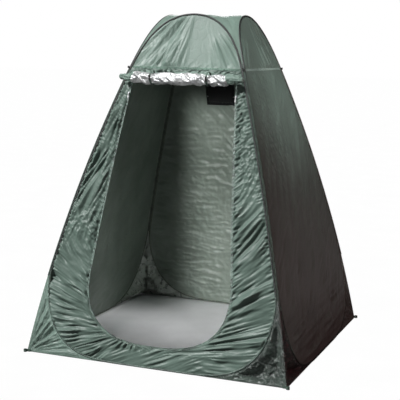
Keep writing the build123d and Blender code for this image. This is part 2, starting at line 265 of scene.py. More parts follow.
def door_side(grow):
    """The door opening's right side, from the middle of the sill up to its top corner."""
    low, top, sill = DOOR_HALF_LOW + grow, DOOR_HALF_TOP + grow, DOOR_SILL - grow
    sill_curve = curve([(0, sill), (DOOR_FLAT, sill), (low + DOOR_BULGE, sill), (low, DOOR_SPRING)])
    return np.concatenate([sill_curve, [(low, DOOR_SPRING), (top, DOOR_TOP)]])


def door_half(z, grow):
    """Half width at height z of the door opening grown all round, zero below the sill."""
    side = door_side(grow)
    return np.interp(z, side[:, 1], side[:, 0], left=0.0)


def hoop_half(z):
    """Half width of the hoop at height z."""
    side = hoop_side()
    return np.interp(z, side[:, 1], side[:, 0])


def clipped(outline, low=None, high=None):
    """A closed outline cut off by the horizontal lines at low and high."""
    for level, sign in ((low, 1), (high, -1)):
        if level is None:
            continue
        kept = []
        for a, b in zip(outline, np.roll(outline, -1, axis=0)):
            inside_a, inside_b = sign * (a[1] - level) >= 0, sign * (b[1] - level) >= 0
            if inside_a:
                kept.append(a)
            if inside_a != inside_b:
                kept.append(a + (b - a) * (level - a[1]) / (b[1] - a[1]))
        outline = np.array(kept)
    return outline


def window_outline(margin):
    """The window's rectangle on the back wall, grown by margin."""
    left, right = WINDOW_X - WINDOW_HALF - margin, WINDOW_X + WINDOW_HALF + margin
    low, high = WINDOW_LOW - margin, WINDOW_HIGH + margin
    return np.array([(left, low), (right, low), (right, high), (left, high)], float)


# ---------------- meshes

LOOP_GAP = 0.45  # share of the spacing that a loop's points keep from each other
FILL_GAP = 0.55  # share of the spacing that inner points keep from the loops


def resampled(loop, spacing):
    """A closed loop with points about spacing apart, with its corners unless they are too close."""
    points = []
    for a, b in zip(loop, np.roll(loop, -1, axis=0)):
        count = max(1, int(round(np.linalg.norm(b - a) / spacing)))
        points += [a + (b - a) * i / count for i in range(count)]
    kept = [points[0]]
    for p in points[1:]:
        if np.linalg.norm(p - kept[-1]) > LOOP_GAP * spacing:
            kept.append(p)
    return np.array(kept)


def inside(points, loop):
    """Whether each point lies inside a closed loop."""
    result = np.zeros(len(points), bool)
    for a, b in zip(loop, np.roll(loop, -1, axis=0)):
        crosses = (a[1] > points[:, 1]) != (b[1] > points[:, 1])
        if a[1] != b[1]:
            at = a[0] + (points[:, 1] - a[1]) * (b[0] - a[0]) / (b[1] - a[1])
            result ^= crosses & (points[:, 0] < at)
    return result


def edge_distance(points, loops):
    """Distance from each point to the nearest loop."""
    best = np.full(len(points), np.inf)
    for loop in loops:
        for a, b in zip(loop, np.roll(loop, -1, axis=0)):
            run = b - a
            t = np.clip((points - a) @ run / max(run @ run, 1e-12), 0, 1)
            gap = points - a - t[:, None] * run
            best = np.minimum(best, np.einsum("ij,ij->i", gap, gap))
    return np.sqrt(best)


def flat_mesh(outline, holes, spacing):
    """Points and triangles of a flat sheet with evenly spaced points inside its outline."""
    loops = [resampled(np.asarray(loop, float), spacing) for loop in [outline, *holes]]
    low, high = loops[0].min(axis=0), loops[0].max(axis=0)
    rows = np.arange(low[1], high[1], spacing * sqrt(3) / 2)
    columns = np.arange(low[0], high[0], spacing)
    gx, gz = np.meshgrid(columns, rows)
    gx = gx + (np.arange(len(rows)) % 2)[:, None] * spacing / 2
    fill = np.stack([gx.ravel(), gz.ravel()], axis=1)
    keep = inside(fill, loops[0])
    for hole in loops[1:]:
        keep &= ~inside(fill, hole)
    fill = fill[keep]
    fill = fill[edge_distance(fill, loops) > FILL_GAP * spacing]
    points = np.concatenate([*loops, fill])
    edges, start = [], 0
    for loop in loops:
        edges += [(start + i, start + (i + 1) % len(loop)) for i in range(len(loop))]
        start += len(loop)
    found, _, faces, *_ = delaunay_2d_cdt([Vector(p) for p in points], edges, [], 0, 1e-7, False)
    points = np.array([tuple(p) for p in found])
    faces = np.array(faces)
    centres = points[faces].mean(axis=1)
    good = inside(centres, loops[0])
    for hole in loops[1:]:
        good &= ~inside(centres, hole)
    return points, faces[good], loops


def grid_faces(rows, columns, start=0, closed=False):
    """The faces of a grid of points, numbered from start. A closed one's last column joins its first."""
    index = np.arange(rows * columns).reshape(rows, columns) + start
    if closed:
        index = np.concatenate([index, index[:, :1]], axis=1)
    corners = (index[:-1, :-1], index[:-1, 1:], index[1:, 1:], index[1:, :-1])
    return np.stack([corner.ravel() for corner in corners], axis=1).tolist()


def make_object(name, points, faces, materials):
    mesh = bpy.data.meshes.new(name)
    mesh.from_pydata([tuple(p) for p in points], [], [tuple(f) for f in faces])
    mesh.validate()
    for material in materials:
        mesh.materials.append(material)
    mesh.polygons.foreach_set("use_smooth", [True] * len(mesh.polygons))
    obj = bpy.data.objects.new(name, mesh)
    scene.collection.objects.link(obj)
    return obj


def thicken(obj, inner_slot=1):
    """Gives a sheet its thickness, inwards, with the lining on its inner side."""
    solid = obj.modifiers.new("thickness", "SOLIDIFY")
    solid.thickness = FABRIC
    solid.offset = -1
    solid.material_offset = inner_slot
    solid.use_quality_normals = True


def wall_cloth(name, wall, outline, holes, spacing, relief, materials, node, flip=False):
    """A sheet on one of the walls: relief gives its height off the wall's surface at (x, z)."""
    points, faces, loops = flat_mesh(outline, holes, spacing)
    x, z = points[:, 0], points[:, 1]
    edge = edge_distance(points, loops)
    height = relief(-x if flip else x, z, edge)
    solid_points = turned(on_wall(x, z, height), wall)
    obj = make_object(name, solid_points, outward(solid_points, faces, wall), materials)
    thicken(obj)
    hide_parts(node)
    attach(obj, "shelter")
    area = shoelace(loops[0]) - sum(shoelace(hole) for hole in loops[1:])
    width, length = np.ptp(loops[0][:, 0]), np.ptp(loops[0][:, 1]) * CHORD / HEIGHT
    area = max(area * CHORD / HEIGHT, LEAST_AREA * width * length)


def shoelace(loop):
    """The area inside a closed loop."""
    x, y = loop[:, 0], loop[:, 1]
    return abs(np.sum(x * np.roll(y, -1) - y * np.roll(x, -1))) / 2


def outward(points, faces, wall):
    """The faces turned so that they look out of the wall."""
    a, b, c = (points[faces[:, i]] for i in range(3))
    normal = np.cross(b - a, c - a)
    away = turned(np.array([0.0, -1.0, 0.3]), wall)
    flipped = normal @ away < 0
    faces = faces.copy()
    faces[flipped] = faces[flipped][:, ::-1]
    return faces


# ---------------- materials


# The colour sockets of a Mix node, by their place among its sockets
MIX_SHARE, MIX_LOW, MIX_HIGH = 0, 6, 7
MIX_RESULT = 2


def node_material(name):
    material = bpy.data.materials.new(name)
    material.use_nodes = True
    return material, material.node_tree, material.node_tree.nodes["Principled BSDF"]


def add(tree, kind, **settings):
    """A new shader node. A setting is the constant of the input of its name, or else the node's own."""
    node = tree.nodes.new("ShaderNode" + kind)
    for key, value in settings.items():
        if key in node.inputs:
            node.inputs[key].default_value = value
        else:
            setattr(node, key, value)
    return node


def link(source, socket):
    """Joins a node's output to another node's input."""
    socket.id_data.links.new(source, socket)


def set_sockets(shader, **values):
    """Sets constants on a shader's own sockets. An underscore stands for a space in their names."""
    for name, value in values.items():
        shader.inputs[name.replace("_", " ")].default_value = value


def linear(r, g, b):
    """A colour given as the eye sees it, for a shader."""
    def one(c):
        return c / 12.92 if c <= 0.04045 else ((c + 0.055) / 1.055) ** 2.4
    return (one(r), one(g), one(b), 1.0)


def object_coordinates(tree):
    return add(tree, "TexCoord").outputs["Object"]


def noise_node(tree, place, scale, detail, roughness=0.5):
    node = add(tree, "TexNoise", Scale=scale, Detail=detail, Roughness=roughness)
    link(place, node.inputs["Vector"])
    return node


def mapped(tree, value, source, target=(0, 1)):
    """A value carried from the source range to the target range, and kept inside it."""
    node = add(tree, "MapRange")
    node.inputs["From Min"].default_value, node.inputs["From Max"].default_value = source
    node.inputs["To Min"].default_value, node.inputs["To Max"].default_value = target
    link(value, node.inputs["Value"])
    return node.outputs["Result"]


def shaded(tree, value, shades, low, high):
    """The first shade where the value is low, the second where it is high."""
    ramp = add(tree, "ValToRGB")
    for stop, position, shade in zip(ramp.color_ramp.elements, (low, high), shades):
        stop.position = position
        stop.color = linear(*shade)
    link(value, ramp.inputs["Fac"])
    return ramp.outputs["Color"]


def mottled(tree, place, shades, scale):
    """A colour that wanders between two shades over the surface."""
    clouds = noise_node(tree, place, scale, 4.0, 0.6)
    return shaded(tree, clouds.outputs["Fac"], shades, 0.35, 0.68)


def mixed(tree, share, low, high):
    """The colour low where the share is 0 and high where it is 1."""
    node = add(tree, "Mix", data_type="RGBA")
    for socket, source in ((MIX_SHARE, share), (MIX_LOW, low), (MIX_HIGH, high)):
        link(source, node.inputs[socket])
    return node.outputs[MIX_RESULT]


def weave_height(tree, place, pitch):
    """The height of a plain weave, in every direction of the sheet. Its ribs are 2 pi pitches apart."""
    total = None
    for direction in ("X", "Y", "Z"):
        threads = add(tree, "TexWave", Scale=1 / (20 * pitch), Distortion=0.6)
        threads.bands_direction = direction
        threads.inputs["Detail Scale"].default_value = 2.0
        link(place, threads.inputs["Vector"])
        if total is None:
            total = threads.outputs["Fac"]
        else:
            joined = add(tree, "Math", operation="ADD")
            link(total, joined.inputs[0])
            link(threads.outputs["Fac"], joined.inputs[1])
            total = joined.outputs[0]
    return total


def bump(tree, height, strength, distance, below=None):
    node = add(tree, "Bump", Strength=strength, Distance=distance)
    link(height, node.inputs["Height"])
    if below is not None:
        link(below, node.inputs["Normal"])
    return node.outputs["Normal"]


def creases(tree, place, scale):
    """The height of fine handling creases."""
    warp = noise_node(tree, place, scale * 0.7, 3.0)
    mix = add(tree, "MixRGB", Fac=0.12)
    link(place, mix.inputs["Color1"])
    link(warp.outputs["Color"], mix.inputs["Color2"])
    cells = add(tree, "TexVoronoi", Scale=scale)
    cells.feature = "DISTANCE_TO_EDGE"
    link(mix.outputs["Color"], cells.inputs["Vector"])
    return mapped(tree, cells.outputs["Distance"], (0, 0.12))


def with_painted_valley_shade(tree, colour, depth):
    """The colour with painted shade, darker by up to depth where the cloth is folded inwards."""
    shape = add(tree, "NewGeometry")
    darker = add(tree, "VectorMath", operation="SCALE")
    link(colour, darker.inputs[0])
    share = mapped(tree, shape.outputs["Pointiness"], (0.40, 0.51), (1 - depth, 1))
    link(share, darker.inputs["Scale"])
    return darker.outputs["Vector"]


def fabric(
    name, shades, roughness, sheen, crease, crease_scale=18.0, metallic=0.0, specular=0.5, valley_shade=0.0
):
    """Coated polyester: a fine weave, small creases, soft cloudy colour and a low sheen. Painted shade
    darkens its folds' valleys, by up to the last argument."""
    material, tree, shader = node_material(name)
    place = object_coordinates(tree)
    colour = mottled(tree, place, shades, 5.0)
    # Painted shade in the folds' valleys, from the mesh's pointiness.
    if valley_shade:
        colour = with_painted_valley_shade(tree, colour, valley_shade)
    link(colour, shader.inputs["Base Color"])
    rub = noise_node(tree, place, 40.0, 3.0)
    spread = mapped(tree, rub.outputs["Fac"], (0, 1), (roughness - 0.06, roughness + 0.08))
    link(spread, shader.inputs["Roughness"])
    normal = bump(tree, creases(tree, place, crease_scale), crease, 0.0012)
    wrinkle = noise_node(tree, place, 34.0, 4.0)
    normal = bump(tree, wrinkle.outputs["Fac"], 0.15 + crease, 0.0016, normal)
    normal = bump(tree, weave_height(tree, place, 0.0009), 0.08, 0.0002, normal)
    link(normal, shader.inputs["Normal"])
    set_sockets(shader, Sheen_Weight=sheen, Sheen_Roughness=0.4)
    set_sockets(shader, Metallic=metallic, Specular_IOR_Level=specular)
    return material


def plain_weave(name, shades, pitch, roughness, strength=0.5):
    """Heavy webbing or binding tape, with a coarse weave."""
    material, tree, shader = node_material(name)
    place = object_coordinates(tree)
    link(mottled(tree, place, shades, 60.0), shader.inputs["Base Color"])
    set_sockets(shader, Roughness=roughness, Specular_IOR_Level=0.25)
    normal = bump(tree, weave_height(tree, place, pitch), strength, 0.0006)
    link(normal, shader.inputs["Normal"])
    return material


def sleeve_material(name, high_shades, low_shades, inner_shades, change):
    """The hoops' piping: dark above the height change, the shell's green below it, and the lining's grey
    on the side that faces the tent's axis, with puckers along its whole length."""
    material, tree, shader = node_material(name)
    where = add(tree, "TexCoord")
    place = where.outputs["Object"]
    parts = add(tree, "SeparateXYZ")
    link(place, parts.inputs["Vector"])
    level = mapped(tree, parts.outputs["Z"], (change - 0.04, change + 0.04))
    low, high = mottled(tree, place, low_shades, 40.0), mottled(tree, place, high_shades, 60.0)
    outside = mixed(tree, level, low, high)
    from_axis = add(tree, "VectorMath", operation="MULTIPLY")
    from_axis.inputs[1].default_value = (1, 1, 0)
    link(place, from_axis.inputs[0])
    unit = add(tree, "VectorMath", operation="NORMALIZE")
    link(from_axis.outputs["Vector"], unit.inputs[0])
    facing = add(tree, "VectorMath", operation="DOT_PRODUCT")
    link(unit.outputs["Vector"], facing.inputs[0])
    link(where.outputs["Normal"], facing.inputs[1])
    inward = mapped(tree, facing.outputs["Value"], (-0.15, -0.3))
    colour = mixed(tree, inward, outside, mottled(tree, place, inner_shades, 40.0))
    link(colour, shader.inputs["Base Color"])
    set_sockets(shader, Roughness=0.5, Specular_IOR_Level=0.3)
    gathers = noise_node(tree, place, 110.0, 2.0)
    normal = bump(tree, gathers.outputs["Fac"], 0.6, 0.0022)
    normal = bump(tree, weave_height(tree, place, 0.0012), 0.2, 0.0003, normal)
    link(normal, shader.inputs["Normal"])
    return material


def puckered_tape(name, shades, slant, pitch):
    """Zip tape sewn to gathered cloth: ridges that slant up from the opening, mirrored left and right.
    Its colour follows the ridges: painted shade in their valleys, painted highlight on their crests.
    """
    material, tree, shader = node_material(name)
    place = object_coordinates(tree)
    parts = add(tree, "SeparateXYZ")
    link(place, parts.inputs["Vector"])
    side = add(tree, "Math", operation="ABSOLUTE")
    link(parts.outputs["X"], side.inputs[0])
    joined = add(tree, "CombineXYZ")
    link(side.outputs[0], joined.inputs["X"])
    link(parts.outputs["Z"], joined.inputs["Z"])
    mapping = add(tree, "Mapping", vector_type="TEXTURE", Scale=(pitch * 8, 1, pitch))
    mapping.inputs["Rotation"].default_value = (0, -radians(slant), 0)
    link(joined.outputs["Vector"], mapping.inputs["Vector"])
    ridges = noise_node(tree, mapping.outputs["Vector"], 1.0, 2.0)
    # Painted shade and highlight: the colour darkens in the ridges' valleys and lightens on their crests.
    colour = shaded(tree, ridges.outputs["Fac"], shades, 0.38, 0.62)
    link(colour, shader.inputs["Base Color"])
    set_sockets(shader, Roughness=0.5, Specular_IOR_Level=0.3)
    normal = bump(tree, ridges.outputs["Fac"], 1.0, 0.006)
    normal = bump(tree, weave_height(tree, place, 0.0012), 0.3, 0.0003, normal)
    link(normal, shader.inputs["Normal"])
    return material


def metal(name, shades, roughness):
    material, tree, shader = node_material(name)
    place = object_coordinates(tree)
    link(mottled(tree, place, shades, 120.0), shader.inputs["Base Color"])
    scratches = noise_node(tree, place, 400.0, 5.0)
    spread = mapped(tree, scratches.outputs["Fac"], (0, 1), (roughness - 0.1, roughness + 0.12))
    link(spread, shader.inputs["Roughness"])
    link(bump(tree, scratches.outputs["Fac"], 0.15, 0.0003), shader.inputs["Normal"])
    set_sockets(shader, Metallic=1.0)
    return material


def mesh_weave(name, shades):
    """Black insect mesh, its holes too small to see through in the dark."""
    material, tree, shader = node_material(name)
    place = object_coordinates(tree)
    link(mottled(tree, place, shades, 30.0), shader.inputs["Base Color"])
    normal = bump(tree, weave_height(tree, place, 0.0018), 0.8, 0.0006)
    link(normal, shader.inputs["Normal"])
    set_sockets(shader, Roughness=0.8)
    return material


def greys(dark, light):
    return (dark, dark, dark), (light, light, light)


# Each material's darker and lighter shade, as the eye sees them
SHELL = ((0.288, 0.344, 0.316), (0.325, 0.386, 0.356))
LINING = ((0.39, 0.43, 0.395), (0.47, 0.51, 0.475))
# The shell's green darkened as painted shade, for the crushed corners.
SHELL_IN_PAINTED_SHADE = ((0.10, 0.12, 0.11), (0.22, 0.265, 0.24))
GUSSET_LINING = ((0.5, 0.53, 0.5), (0.72, 0.74, 0.72))
SILVER = ((0.5, 0.51, 0.51), (0.7, 0.7, 0.7))
BINDING = ((0.02, 0.026, 0.023), (0.05, 0.058, 0.054))
PIPING = ((0.02, 0.027, 0.023), (0.055, 0.065, 0.06))
PIPING_LOW = ((0.12, 0.155, 0.14), (0.24, 0.30, 0.27))
PIPING_INSIDE = ((0.31, 0.33, 0.30), (0.40, 0.43, 0.39))
# The zip tape's shades run from painted shade to painted highlight.
ZIP_TAPE_SHADE_AND_HIGHLIGHT = ((0.10, 0.135, 0.12), (0.27, 0.33, 0.30))
SEAM_TAPE = ((0.19, 0.25, 0.22), (0.31, 0.39, 0.35))
# The seam tape lightened as a painted highlight, for the right shoulder only.
SEAM_TAPE_HIGHLIT = ((0.36, 0.43, 0.40), (0.52, 0.60, 0.56))
CORNER_TAPE = ((0.13, 0.17, 0.15), (0.2, 0.25, 0.225))
WEBBING = ((0.16, 0.21, 0.18), (0.24, 0.30, 0.27))
FLOOR = ((0.93, 0.93, 0.94), (0.97, 0.97, 0.98))
MESH = ((0.01, 0.01, 0.012), (0.05, 0.05, 0.055))
STEEL = ((0.55, 0.55, 0.56), (0.7, 0.7, 0.7))
NICKEL = ((0.35, 0.35, 0.36), (0.5, 0.5, 0.5))
PIPING_CHANGE = 0.44  # the height at which the piping's colour changes

shell = fabric("shell_green", SHELL, 0.42, sheen=0.02, crease=0.22, specular=0.2, valley_shade=0.28)
lining = fabric("shell_lining", LINING, 0.42, sheen=0.03, crease=0.3, crease_scale=14.0)
# A darker copy of the shell: painted shade for the crushed corners, with deeper painted shade in its
# valleys.
shell_in_painted_shade = fabric("shell_painted_shade", SHELL_IN_PAINTED_SHADE, 0.34, 0.02, 0.7, crease_scale=75.0, valley_shade=0.7)
gusset_lining = fabric("gusset_lining", GUSSET_LINING, 0.28, 0.05, 0.8, crease_scale=30.0, metallic=0.5)
silver = fabric("door_silver", SILVER, 0.3, sheen=0.05, crease=0.55, crease_scale=20.0, metallic=0.55)
binding = plain_weave("binding_dark", BINDING, 0.0016, 0.6)
sleeve = sleeve_material("hoop_sleeve_dark", PIPING, PIPING_LOW, PIPING_INSIDE, PIPING_CHANGE)
zip_tape = puckered_tape("zip_tape_green", ZIP_TAPE_SHADE_AND_HIGHLIGHT, 35, 0.012)
seam_tape = fabric("seam_tape_green", SEAM_TAPE, 0.5, 0.02, 0.9, crease_scale=70.0, specular=0.16)
corner_tape = plain_weave("corner_tape_green", CORNER_TAPE, 0.0016, 0.55)
# A lighter copy of the seam tape: painted highlight on the right shoulder.
seam_tape_highlit = fabric("seam_tape_painted_highlight", SEAM_TAPE_HIGHLIT, 0.5, sheen=0.02, crease=0.9, crease_scale=70.0)
webbing = plain_weave("webbing_green", WEBBING, 0.0014, 0.65)
floor_cloth = fabric("floor_grey", FLOOR, 0.6, sheen=0.1, crease=0.15, crease_scale=8.0)
window_mesh = mesh_weave("window_mesh_black", MESH)
steel = metal("spring_steel", STEEL, 0.35)
zip_metal = metal("zip_nickel", NICKEL, 0.35)
toggle_black = plain_weave("toggle_black", greys(0.03, 0.08), 0.004, 0.5, 0.1)

# ---------------- camera, light, floor

CAMERA_PLACE = (2.139, -5.559, 1.708)
CAMERA_YAW, CAMERA_PITCH, CAMERA_ROLL = 21.33, -8.52, 1.15  # degrees
CAMERA_LENS, CAMERA_SENSOR = 91.4, 36  # millimetres
WHITE = (1, 1, 1)
REDDISH = (1, 0.22, 0.28)
SKY_BRIGHT_SIDE = (-0.72, -0.6, 0.35)
SKY_DARK, SKY_BRIGHT = 0.012, 0.3
STUDIO_HALF, STUDIO_DROP = 60, 0.0005


def make_camera():
    yaw, pitch, roll = radians(CAMERA_YAW), radians(CAMERA_PITCH), radians(CAMERA_ROLL)
    forward = Vector((-sin(yaw) * cos(pitch), cos(yaw) * cos(pitch), sin(pitch)))
    right = forward.cross(Vector((0, 0, 1))).normalized()
    up = right.cross(forward)
    right, up = cos(roll) * right + sin(roll) * up, -sin(roll) * right + cos(roll) * up
    data = bpy.data.cameras.new("camera")
    data.lens = CAMERA_LENS
    data.sensor_width = CAMERA_SENSOR
    camera = bpy.data.objects.new("camera", data)
    axes = Matrix((right, up, -forward)).transposed().to_4x4()
    camera.matrix_world = Matrix.Translation(CAMERA_PLACE) @ axes
    scene.collection.objects.link(camera)
    scene.camera = camera


def new_light(name, kind, place, target, power, colour):
    """A light that stands at place and points at target."""
    data = bpy.data.lights.new(name, kind)
    data.energy = power
    data.color = colour
    light = bpy.data.objects.new(name, data)
    direction = Vector(target) - Vector(place)
    turn = direction.to_track_quat("-Z", "Y").to_matrix().to_4x4()
    light.matrix_world = Matrix.Translation(place) @ turn
    scene.collection.objects.link(light)
    return light


def area_light(name, place, target, size, power, colour=WHITE):
    """A soft rectangular light."""
    light = new_light(name, "AREA", place, target, power, colour)
    light.data.shape = "RECTANGLE"
    light.data.size, light.data.size_y = size
    return light


def sun_light(name, place, strength, spread):
    """Sunlight from the direction of place, its disc spread degrees wide."""
    light = new_light(name, "SUN", place, (0, 0, 0), strength, WHITE)
    light.data.angle = radians(spread)
    return light


def spot_light(name, place, target, power, cone, radius):
    """A round soft light, its cone in degrees."""
    light = new_light(name, "SPOT", place, target, power, WHITE)
    light.data.spot_size = radians(cone)
    light.data.spot_blend = 0.8
    light.data.shadow_soft_size = radius
    return light


def leave_out(light, objects):
    """Keeps a light off some objects."""
    dark = bpy.data.collections.new(f"{light.name}_leaves_out")
    for obj in objects:
        dark.objects.link(obj)
    light.light_linking.receiver_collection = dark
    for member in dark.collection_objects:
        member.light_linking.link_state = "EXCLUDE"


def make_sky():
    """White to the camera, and to the tent a dim sky that is brighter in front and on the left."""
    world = bpy.data.worlds.new("studio")
    world.use_nodes = True
    tree = world.node_tree
    background = tree.nodes["Background"]
    background.inputs["Color"].default_value = (1, 1, 1, 1)
    where = add(tree, "TexCoord")
    facing = add(tree, "VectorMath", operation="DOT_PRODUCT")
    facing.inputs[1].default_value = SKY_BRIGHT_SIDE
    link(where.outputs["Generated"], facing.inputs[0])
    sky = mapped(tree, facing.outputs["Value"], (-0.7, 0.9), (SKY_DARK, SKY_BRIGHT))
    seen = add(tree, "LightPath")
    level = add(tree, "Mix", B=1.0)
    link(seen.outputs["Is Camera Ray"], level.inputs["Factor"])
    link(sky, level.inputs["A"])
    link(level.outputs["Result"], background.inputs["Strength"])
    scene.world = world
    scene.view_settings.view_transform = "Standard"


def make_studio_floor():
    """The ground, plain white to the camera, and a muted grey in the light it gives back."""
    h = STUDIO_HALF
    mesh = bpy.data.meshes.new("studio_floor")
    mesh.from_pydata([(-h, -h, 0), (h, -h, 0), (h, h, 0), (-h, h, 0)], [], [(0, 1, 2, 3)])
    floor = bpy.data.objects.new("studio_floor", mesh)
    material, tree, _ = node_material("studio_pale")
    glow = add(tree, "Emission", Strength=1.0)
    pale = mottled(tree, object_coordinates(tree), greys(0.995, 1), 3.0)
    link(pale, glow.inputs["Color"])
    muted = add(tree, "BsdfDiffuse", Color=linear(0.4, 0.4, 0.4))
    seen = add(tree, "LightPath")
    choice = add(tree, "MixShader")
    link(seen.outputs["Is Camera Ray"], choice.inputs[0])
    link(muted.outputs[0], choice.inputs[1])
    link(glow.outputs[0], choice.inputs[2])
    link(choice.outputs[0], tree.nodes["Material Output"].inputs["Surface"])
    mesh.materials.append(material)
    floor.location.z = -STUDIO_DROP
    scene.collection.objects.link(floor)
    return floor


make_camera()
key_light = sun_light("key", (-2.6, -2.6, 3.5), 6.4, 7)
side_fill = area_light("side_fill", (3.6, -0.2, 1.4), (0.5, 0, 0.6), (0.9, 1.6), 21, REDDISH)
area_light("back_fill", (-1.4, 4.8, 2.6), (0, 0.4, 0.9), (2.2, 2.2), 120)
overhead_light = spot_light("overhead", (1.6, -1.7, 4.2), (0.1, -0.1, 1.75), 560, 27, 0.45)
doorway_light = spot_light("doorway", (-0.15, -5.0, 1.8), (0.05, 0.3, 0.85), 5400, 15, 1.2)
spot_light("shoulder", (3.4, -0.6, 3.0), (0.42, 0.2, 1.45), 360, 15, 0.3)
floor_light = spot_light("floor", (0.05, -2.7, 2.6), (0.0, 0.15, 0.0), 190, 20, 0.35)
make_sky()
studio_floor = make_studio_floor()

# ---------------- CAD nodes that stay, with better materials

CAD_FINISH = {
    "hoop_wire": steel,
    "hoop_ferrule": steel,
    "hoop_sleeve": sleeve,
    "corner_tape": corner_tape,
    "shoulder_tape": seam_tape,
    # The right shoulder's tape is the lighter copy of the seam tape: painted highlight.
    "right_shoulder_tape": seam_tape_highlit,
    "peg_loops": webbing,
    "guy_loops": binding,
    "zip_tape": zip_tape,
    "tie_straps": webbing,
    "tie_toggles": toggle_black,
    "zip_slider": zip_metal,
    "zip_pull": zip_metal,
    "window_binding": binding,
    "window_mesh": window_mesh,
    "snap": zip_metal,
}


def finish_cad_nodes():
    """Gives every CAD node the finish of the last part of the list that its name holds."""
    for name, node in frame["nodes"].items():
        for part, material in CAD_FINISH.items():
            if part in name:
                node.data.materials.clear()
                node.data.materials.append(material)


finish_cad_nodes()

# ---------------- walls

# Points of a wall that its tension folds run towards, as (x, z)
LEFT_PULL = (-0.11, 0.19)
RIGHT_PULL = (-0.08, 0.06)
ARCH_PULL = (0.03, HEIGHT + 0.09)
ARCH_PULL_RIGHT = (0.02, HEIGHT + 0.09)


def pinned(height, edge, reach):
    """Folds that die out towards the sewn edges."""
    return height * smooth(edge / reach)


def front_relief(x, z, edge):
    """The front wall: long folds beside the opening, spokes round its lower curves, and puckers where
    the cloth is gathered along the zip and the hoop."""
    left, right = smooth(0.5 - x / 0.06), smooth(0.5 + x / 0.06)
    upper = smooth((z - 0.58) / 0.25)
    sill = smooth((0.13 - z) / 0.06) * smooth((0.34 - np.abs(x)) / 0.12)
    high_left = left * upper
    height = high_left * folds(x, z, 62, spacing=0.024, length=0.4, height=0.023, seed=3, patchy=0.7)
    height += high_left * folds(x, z, 74, spacing=0.055, length=0.6, height=0.040, seed=4)
    low_left = left * (1 - upper) * (1 - sill)
    height += low_left * spokes(x, z, LEFT_PULL, 2.6, length=0.3, height=0.030, seed=5, patchy=0.85)
    height += low_left * spokes(x, z, LEFT_PULL, 7, length=0.3, height=0.040, seed=7, patchy=0.7)
    crushed = left * np.exp(-(((z - 0.74) / 0.09) ** 2))
    height += crushed * crumple(x, z, size=0.085, height=0.022, seed=9)
    height += sill * folds(x, z, 24, spacing=0.018, length=0.3, height=0.016, seed=8, patchy=0.9)
    low_right = right * (1 - smooth((z - 0.56) / 0.2)) * (1 - sill)
    height += low_right * spokes(x, z, RIGHT_PULL, 1.9, length=0.45, height=0.023, seed=12, patchy=0.85)
    height += low_right * spokes(x, z, RIGHT_PULL, 5.5, length=0.45, height=0.034, seed=13, patchy=0.75)
    middle_right = right * band(z, 0.58, 0.98, 0.2)
    height += middle_right * folds(x, z, 54, spacing=0.042, length=0.35, height=0.030, seed=15)
    high_right = right * smooth((z - 0.82) / 0.3)
    height += high_right * crumple(x, z, size=0.036, height=0.013, seed=18)
    height += high_right * folds(x, z, 64, spacing=0.024, length=0.2, height=0.015, seed=20)
    return pinned(height, edge, 0.018) + pinned(front_puckers(x, z), edge, 0.006)


def front_puckers(x, z):
    """Small gathers along the front wall's zip and its hoop."""
    side = np.abs(x)
    across, along = across_along(side, z, 35)
    from_door = np.maximum(side - door_half(z, ZIP), 0.0)
    by_zip = np.exp(-((from_door / 0.04) ** 2)) * smooth((z - DOOR_SILL) / 0.2)
    height = 0.014 * by_zip * noise(across / 0.0105, along / 0.08, 22)
    by_hoop = np.exp(-(((hoop_half(z) - side) / 0.03) ** 2)) * smooth((z - 0.06) / 0.1)
    return height + 0.011 * by_hoop * noise((z - 0.4 * side) / 0.011, side / 0.09, 24)


def side_relief(x, z, edge):
    """The right wall: smooth, with faint level folds near its foot and small creases above."""
    low = 1 - smooth((z - 0.16) / 0.25)
    height = low * folds(x, z, 3, spacing=0.05, length=0.5, height=0.022, seed=31)
    high = smooth((z - 0.8) / 0.5) * smooth(0.6 - x / 0.3)
    height += high * crumple(x, z, size=0.035, height=0.008, seed=33)
    height += folds(x, z, 64, spacing=0.12, length=0.9, height=0.010, seed=36)
    height += folds(x, z, 35, spacing=0.04, length=0.25, height=0.006, seed=38, patchy=0.95)
    return pinned(height, edge, 0.05)


def back_relief(x, z, edge):
    """The back wall: many long level wrinkles, and creases that slant down from the window."""
    low = 1 - smooth((z - 1.1) / 0.3)
    height = low * folds(x, z, -5, spacing=0.019, length=0.3, height=0.017, seed=41, patchy=0.8)
    mostly_low = 1 - 0.6 * smooth((z - 1.0) / 0.3)
    height += mostly_low * folds(x, z, 9, spacing=0.03, length=0.3, height=0.015, seed=43, patchy=0.8)
    slant = band(z, 0.9, 1.5, 0.3) * smooth(0.6 - (x - 0.05) / 0.3)
    window_foot = (-0.1, 1.1)
    height += slant * folds(x, z, 50, 0.034, length=0.4, height=0.046, seed=46, at=window_foot, patchy=0.8)
    height += crumple(x, z, size=0.055, height=0.010, seed=48)
    return pinned(height, edge, 0.03)


def left_relief(x, z, edge):
    """The left wall: nearly smooth."""
    height = folds(x, z, 70, spacing=0.12, length=1.0, height=0.006, seed=51)
    height += folds(x, z, -62, spacing=0.07, length=0.7, height=0.0035, seed=55)
    low = 1 - smooth((z - 0.2) / 0.2)
    height += low * folds(x, z, -20, spacing=0.04, length=0.4, height=0.006, seed=53)
    return pinned(height, edge, 0.06)


